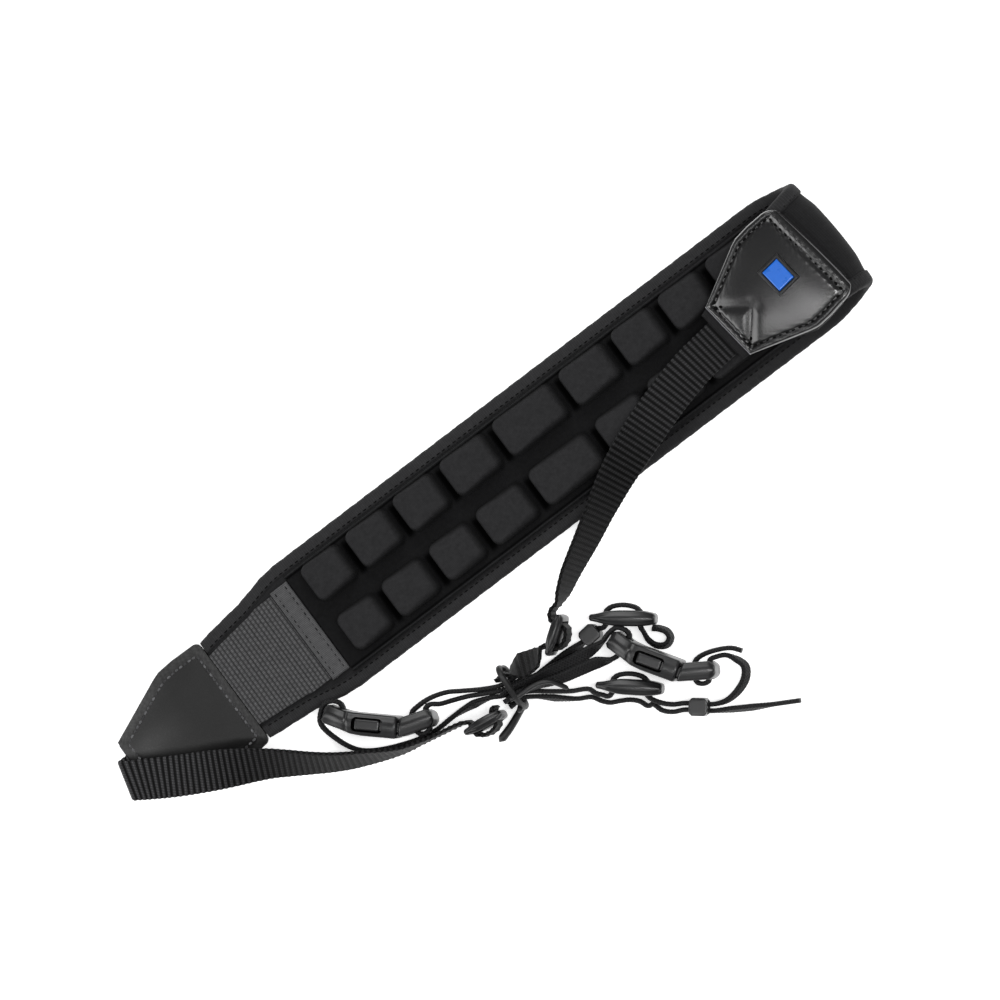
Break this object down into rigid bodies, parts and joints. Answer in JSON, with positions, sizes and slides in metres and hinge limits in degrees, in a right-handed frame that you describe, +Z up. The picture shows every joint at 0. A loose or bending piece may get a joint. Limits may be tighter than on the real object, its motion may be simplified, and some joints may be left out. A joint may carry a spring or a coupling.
{
  "type": "binocular strap",
  "caption": "Padded binocular neck strap with air-cell pad, leather end shields, half-inch webbing and a tied bundle of flat cords, small buckles and tri-glides; one end folded over.",
  "frame": {"origin": "middle of the pad's plain back face, on the surface that the strap lies on", "axes": "+X along the pad towards its folded end, +Y across the pad away from the tied bundle, +Z up from the surface it lies on"},
  "size_m": [0.2736, 0.129, 0.0215],
  "materials": {
    "neoprene": "matt knit-covered neoprene foam",
    "cell_fabric": "matt stretch fabric over air cells",
    "binding_cloth": "matt woven binding tape",
    "stretch_weave": "coarse elastic weave",
    "dull_leather": "matt grained leather",
    "gloss_leather": "glossy grained leather",
    "webbing_nylon": "ribbed nylon webbing",
    "cord_nylon": "flat woven nylon cord",
    "acetal": "moulded satin plastic",
    "badge_blue": "plain blue tile",
    "badge_rim": "moulded satin plastic",
    "coated_wire": "plastic-coated wire"
  },
  "bodies": {
    "root": {"pad_base": "neoprene", "cell_panel": "cell_fabric", "binding_upper": "binding_cloth", "binding_lower": "binding_cloth", "hem_left": "binding_cloth", "hem_right": "binding_cloth", "patch_left": "stretch_weave", "patch_right": "stretch_weave", "inner_leather_left": "dull_leather", "inner_leather_right": "dull_leather", "outer_leather_left": "gloss_leather", "outer_leather_right": "gloss_leather", "badge_frame": "badge_rim", "badge_tile": "badge_blue", "webbing_left": "webbing_nylon", "webbing_right": "webbing_nylon", "buckle_female_left": "acetal", "buckle_male_left": "acetal", "buckle_female_right": "acetal", "buckle_male_right": "acetal", "tri_glide_a": "acetal", "tri_glide_b": "acetal", "tri_glide_c": "acetal", "tri_glide_d": "acetal", "keeper_a": "acetal", "keeper_b": "acetal", "cord_sling_left": "cord_nylon", "cord_loop_left": "cord_nylon", "cord_sling_right": "cord_nylon", "cord_loop_right": "cord_nylon", "cord_tail": "cord_nylon", "wire_tie": "coated_wire"}
  },
  "joints": []
}
